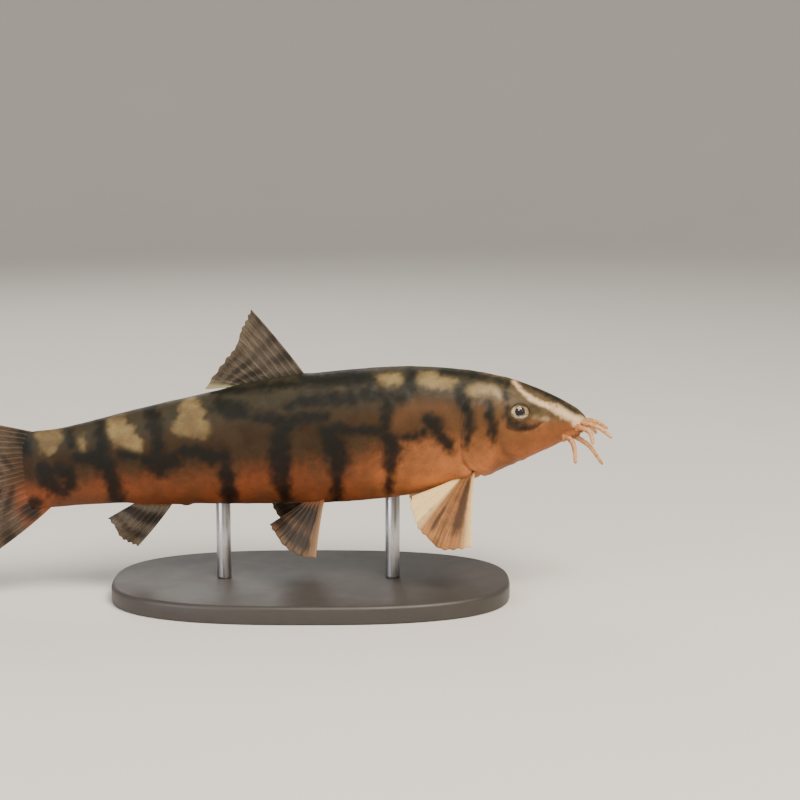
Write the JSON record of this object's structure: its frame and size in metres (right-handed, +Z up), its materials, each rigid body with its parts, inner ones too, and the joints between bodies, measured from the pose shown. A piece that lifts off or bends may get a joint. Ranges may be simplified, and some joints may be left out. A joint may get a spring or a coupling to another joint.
{
  "type": "yoyo loach",
  "caption": "Life-size striped freshwater loach, swimming level with spread fins and barbels, held over a flat oval base by two thin rods.",
  "frame": {"origin": "middle of the underside of the stand's base", "axes": "+X forward along the fish, -Y its right side, +Z up"},
  "size_m": [0.1132, 0.036, 0.0477],
  "materials": {
    "skin": "moist skin with minute scales, orange-brown with a net of dark bars and pale blotches",
    "fin": "translucent membrane over paler rays, with dusky bands",
    "barbel": "soft pale flesh",
    "eye": "silvery iris round a black pupil under a clear cornea",
    "stand_plate": "satin dark plate",
    "stand_rod": "fine drawn steel"
  },
  "bodies": {
    "root": {"head": "skin", "trunk": "skin", "tail": "skin", "eye_right": "eye", "eye_left": "eye", "rostral_barbel_outer_right": "barbel", "rostral_barbel_outer_left": "barbel", "rostral_barbel_inner_right": "barbel", "rostral_barbel_inner_left": "barbel", "maxillary_barbel_right": "barbel", "maxillary_barbel_left": "barbel", "dorsal_fin": "fin", "anal_fin": "fin", "caudal_fin_upper": "fin", "caudal_fin_lower": "fin", "pectoral_fin_right": "fin", "pectoral_fin_left": "fin", "pelvic_fin_right": "fin", "pelvic_fin_left": "fin", "stand_base": "stand_plate", "stand_rod_front": "stand_rod", "stand_rod_rear": "stand_rod"}
  },
  "joints": []
}
